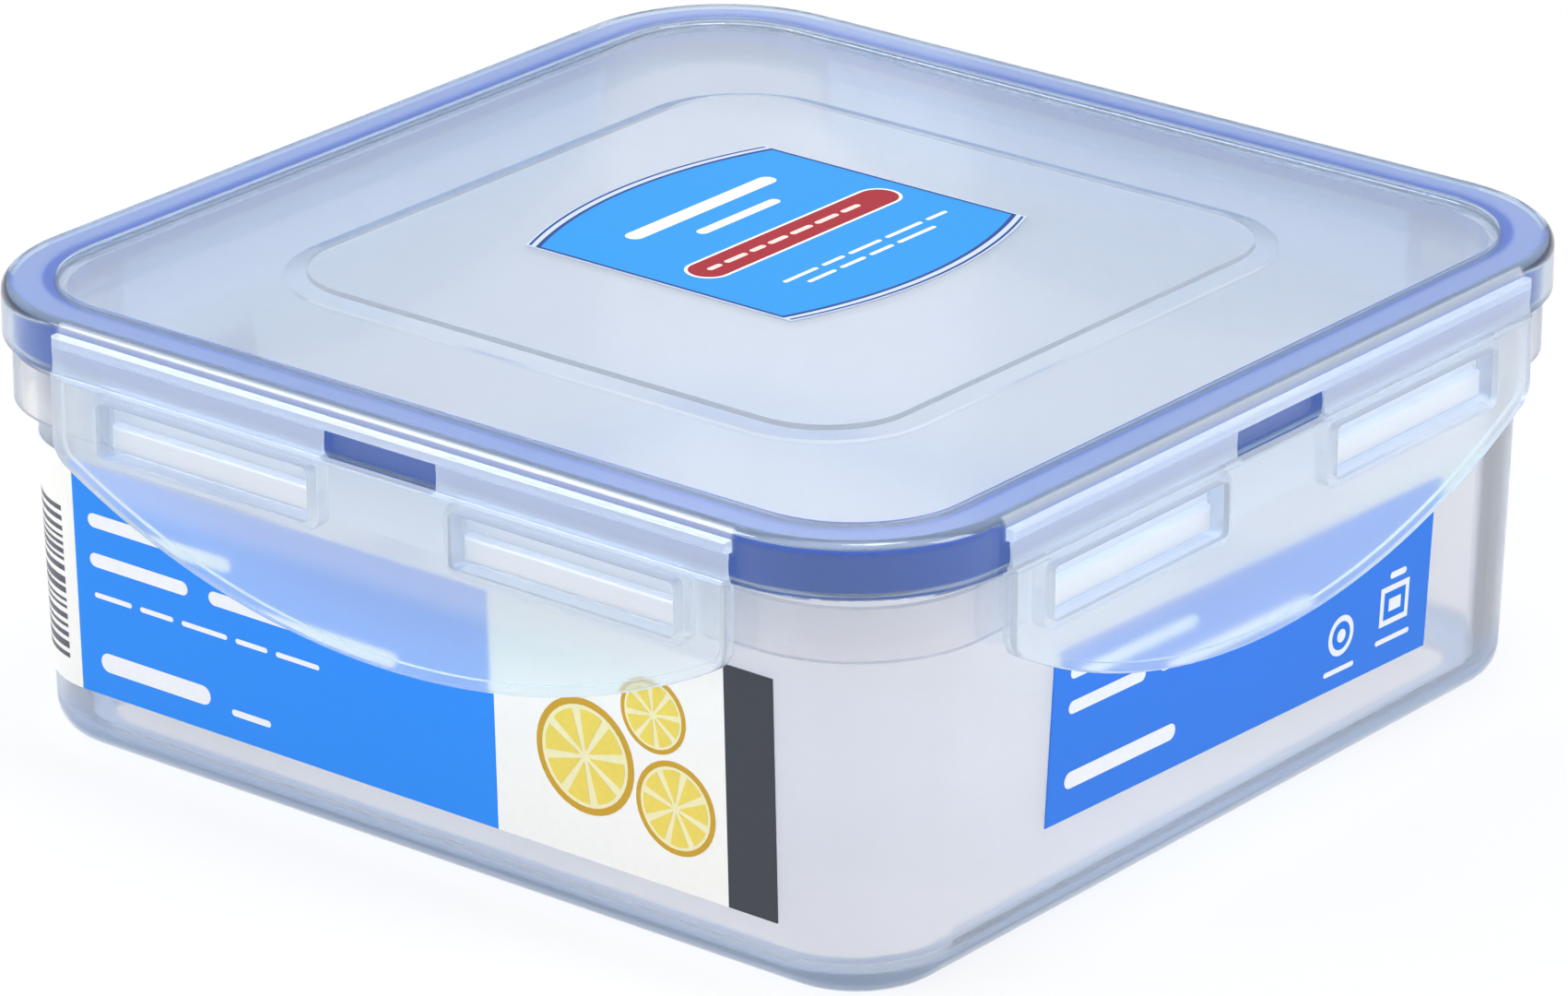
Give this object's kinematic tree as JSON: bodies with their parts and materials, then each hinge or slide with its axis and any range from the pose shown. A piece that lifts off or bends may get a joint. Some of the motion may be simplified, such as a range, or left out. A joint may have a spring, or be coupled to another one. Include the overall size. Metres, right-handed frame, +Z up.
{
  "type": "food storage container",
  "caption": "Square clear food box with a sealed lid, snap-down flaps on every side, and printed labels.",
  "frame": {"origin": "middle of the footprint, at table height", "axes": "+Z up; -Y is the front with the wide wrap label; +X is the side with the narrow label"},
  "size_m": [0.155, 0.155, 0.0608],
  "materials": {
    "tub_plastic": "clear, gloss outside, faintly frosted floor",
    "lid_plastic": "clear with a faint blue cast, gloss",
    "flap_plastic": "milky clear, satin",
    "hinge_plastic": "milky clear, thin",
    "seal_silicone": "soft matt silicone",
    "front_label_print": "coated paper label, gloss print",
    "right_label_print": "coated paper label, gloss print",
    "lid_sticker_print": "coated paper sticker, gloss print"
  },
  "bodies": {
    "tub": {"tub": "tub_plastic", "front_label": "front_label_print", "right_label": "right_label_print"},
    "lid": {"lid_panel": "lid_plastic", "seal_ring": "seal_silicone", "lid_sticker": "lid_sticker_print", "front_hinge_ledge": "hinge_plastic", "right_hinge_ledge": "hinge_plastic", "back_hinge_ledge": "hinge_plastic", "left_hinge_ledge": "hinge_plastic", "front_hinge_strips": "hinge_plastic", "right_hinge_strips": "hinge_plastic", "back_hinge_strips": "hinge_plastic", "left_hinge_strips": "hinge_plastic"},
    "front_flap": {"front_flap": "flap_plastic"},
    "right_flap": {"right_flap": "flap_plastic"},
    "back_flap": {"back_flap": "flap_plastic"},
    "left_flap": {"left_flap": "flap_plastic"}
  },
  "joints": [
    {"name": "lid_lift", "type": "slide", "parent": "tub", "child": "lid", "axis": [0, 0, 1], "range_m": [0, 0.042]},
    {"name": "front_flap_hinge", "type": "hinge", "parent": "lid", "child": "front_flap", "pos_m": [0, -0.07675, 0.0563], "axis": [-1, 0, 0], "range_deg": [0, 110], "deforming": ["front_hinge_strips"]},
    {"name": "right_flap_hinge", "type": "hinge", "parent": "lid", "child": "right_flap", "pos_m": [0.07675, 0, 0.0563], "axis": [0, -1, 0], "range_deg": [0, 110], "deforming": ["right_hinge_strips"]},
    {"name": "back_flap_hinge", "type": "hinge", "parent": "lid", "child": "back_flap", "pos_m": [0, 0.07675, 0.0563], "axis": [1, 0, 0], "range_deg": [0, 110], "deforming": ["back_hinge_strips"]},
    {"name": "left_flap_hinge", "type": "hinge", "parent": "lid", "child": "left_flap", "pos_m": [-0.07675, 0, 0.0563], "axis": [0, 1, 0], "range_deg": [0, 110], "deforming": ["left_hinge_strips"]}
  ]
}
